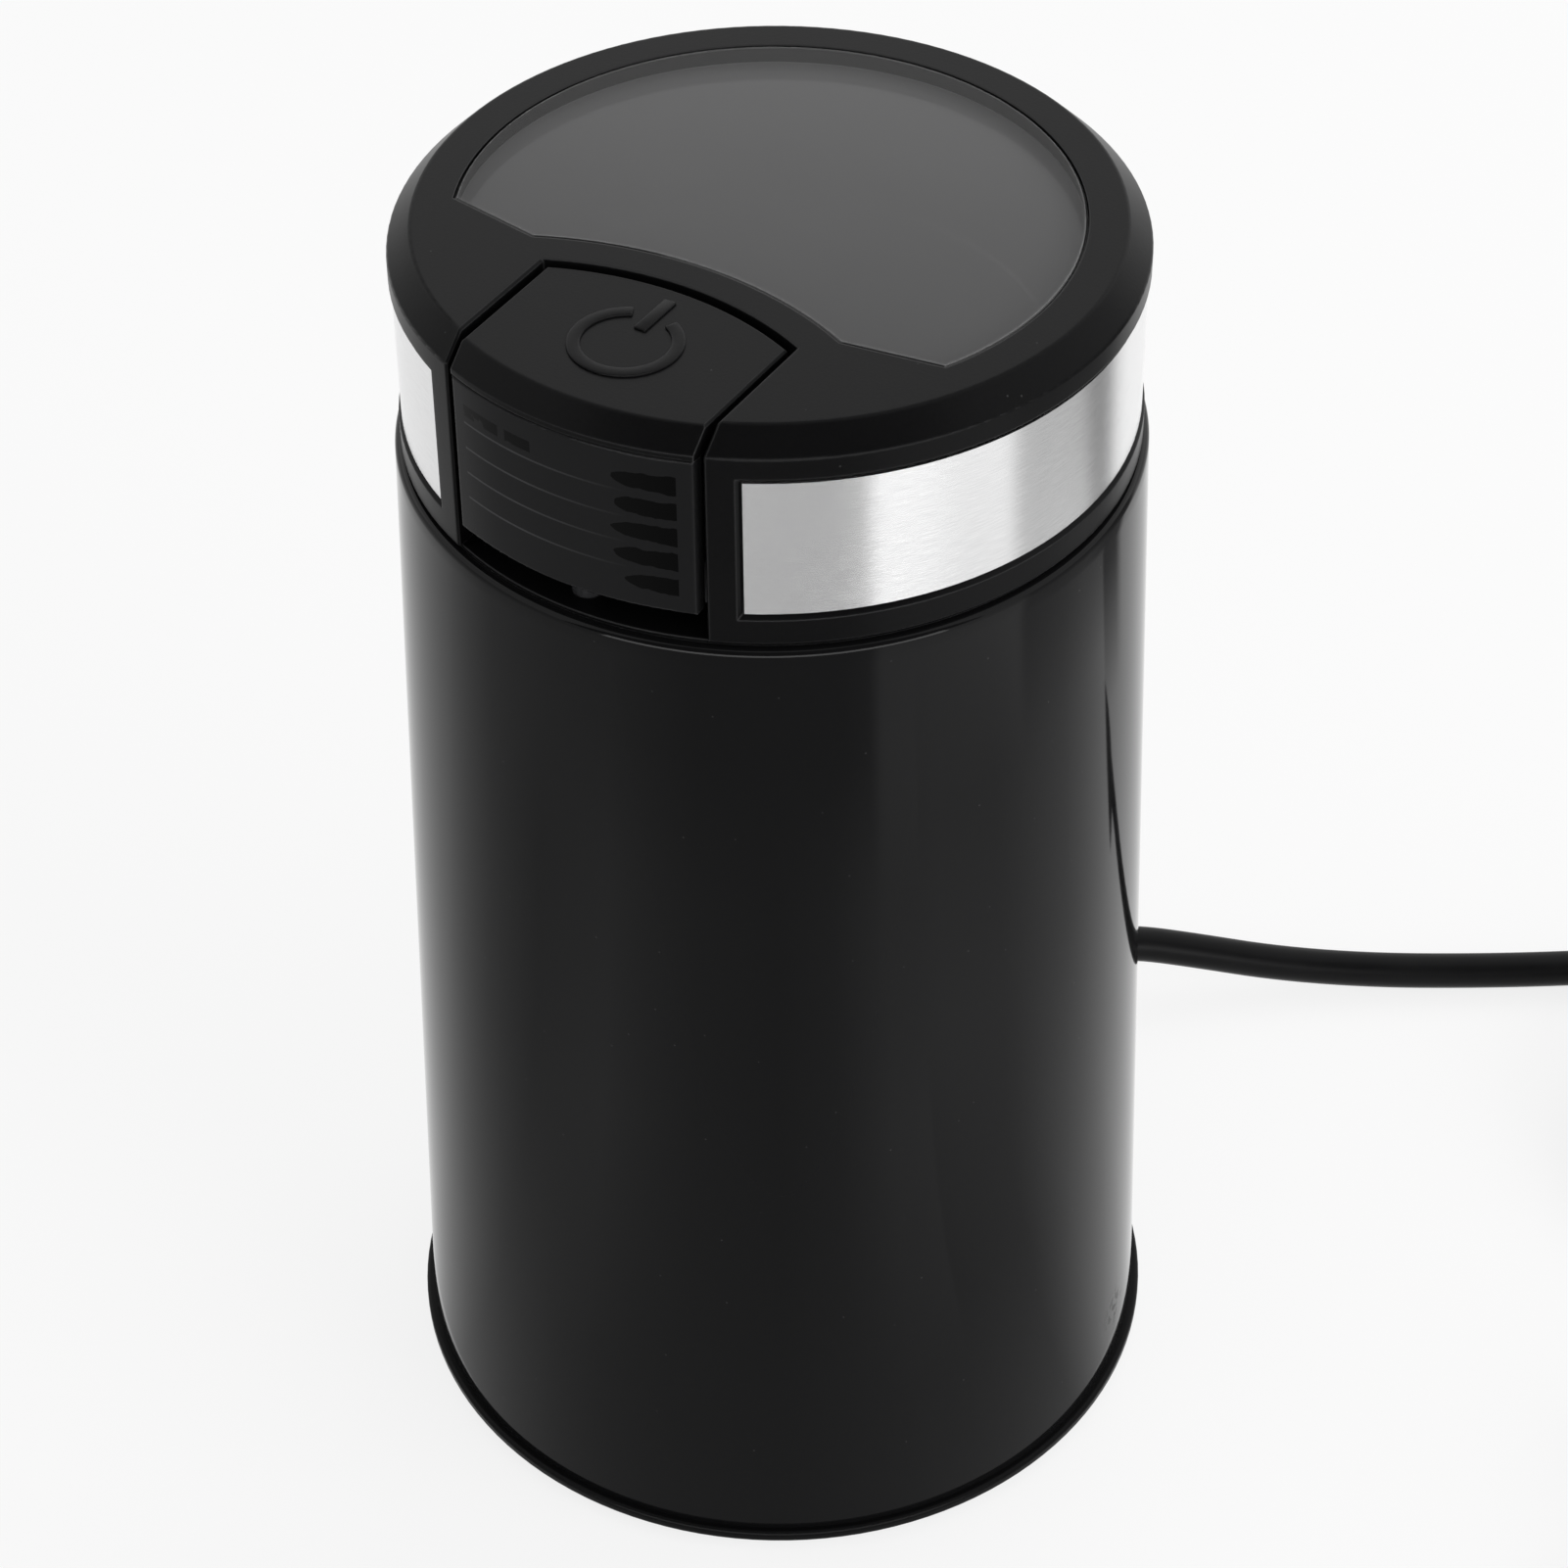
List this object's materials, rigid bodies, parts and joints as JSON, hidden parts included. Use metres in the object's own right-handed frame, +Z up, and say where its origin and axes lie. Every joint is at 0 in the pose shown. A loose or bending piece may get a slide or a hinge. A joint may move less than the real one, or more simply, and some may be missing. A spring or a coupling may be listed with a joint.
{
  "type": "electric coffee grinder",
  "caption": "Black blade coffee grinder: flared round housing, lift-off lid with steel band, smoked window and press button, sprung switch train, motor, blade, bowl and mains cord.",
  "frame": {"origin": "On the floor, on the axis of the blade, under the middle of the base.", "axes": "+Z up along the blade's axis, -Y towards the button, +X to the right seen from the button's side."},
  "size_m": [0.1959, 0.1778, 0.1684],
  "materials": {
    "gloss_black": "gloss",
    "satin_black": "satin",
    "dark_plastic": "matte",
    "smoked_clear": "smoked",
    "brushed_band": "brushed",
    "steel": "drawn",
    "screw_steel": "zinc plated",
    "lamination": "laminated",
    "copper": "enamelled wire",
    "bearing_bronze": "sintered",
    "carbon": "matte",
    "rubber": "matte",
    "cord_sheath": "satin",
    "pin_metal": "nickel plated",
    "wire_cover": "satin"
  },
  "bodies": {
    "housing": {"body_shell": "gloss_black", "base_plate": "satin_black", "rubber_feet": "rubber", "base_screws": "screw_steel", "bowl_housing": "dark_plastic", "top_collar": "satin_black", "collar_screws": "screw_steel", "grinding_bowl": "steel", "bowl_seal": "rubber", "shaft_seal": "rubber", "upper_bracket": "dark_plastic", "upper_bearing": "bearing_bronze", "lower_bracket": "dark_plastic", "lower_bearing": "bearing_bronze", "stator_core": "lamination", "field_coils": "copper", "brush_holders": "bearing_bronze", "carbon_brushes": "carbon", "brush_springs": "steel", "motor_bolts": "screw_steel", "mount_screws": "screw_steel", "mount_grommets": "rubber", "micro_switch": "dark_plastic", "switch_screws": "screw_steel", "rod_spring": "steel", "strain_relief": "rubber", "cord_tail": "cord_sheath", "cord_clamp": "dark_plastic", "clamp_screws": "screw_steel", "wiring": "wire_cover", "power_cord": "cord_sheath", "cord_coil": "cord_sheath", "cord_tie": "satin_black", "plug_lead": "cord_sheath", "plug_body": "cord_sheath", "plug_pins": "pin_metal"},
    "rotor": {"motor_shaft": "steel", "blade": "steel", "blade_spacer": "steel", "blade_nut": "dark_plastic", "armature_core": "lamination", "armature_windings": "copper", "commutator": "copper", "cooling_fan": "dark_plastic"},
    "lid": {"lid_cover": "satin_black", "steel_band": "brushed_band", "lid_window": "smoked_clear", "lid_liner": "satin_black", "button_springs": "steel"},
    "button": {"power_button": "satin_black", "button_panel": "smoked_clear"},
    "rod": {"push_rod": "satin_black"},
    "lever": {"switch_lever": "steel"}
  },
  "joints": [
    {"name": "blade_spin", "type": "hinge", "parent": "housing", "child": "rotor", "pos_m": [0, 0, 0.1], "axis": [0, 0, 1], "continuous": true},
    {"name": "lid_lift", "type": "slide", "parent": "housing", "child": "lid", "axis": [0, 0, 1], "range_m": [0, 0.06]},
    {"name": "button_press", "type": "slide", "parent": "lid", "child": "button", "axis": [0, 0, -1], "range_m": [0, 0.0025], "stiffness_N_per_m": 800, "springref_m": -0.002, "deforming": ["button_springs"]},
    {"name": "rod_press", "type": "slide", "parent": "housing", "child": "rod", "axis": [0, 0, -1], "range_m": [0, 0.0025], "deforming": ["rod_spring"]},
    {"name": "lever_press", "type": "hinge", "parent": "housing", "child": "lever", "pos_m": [0.009, -0.0369, 0.09735], "axis": [0, -1, 0], "range_deg": [0, 14]}
  ],
  "couplings": [
    {"joint": "rod_press", "follows": "button_press", "ratio": 1},
    {"joint": "lever_press", "follows": "button_press", "rad_per_m": 94.25}
  ]
}
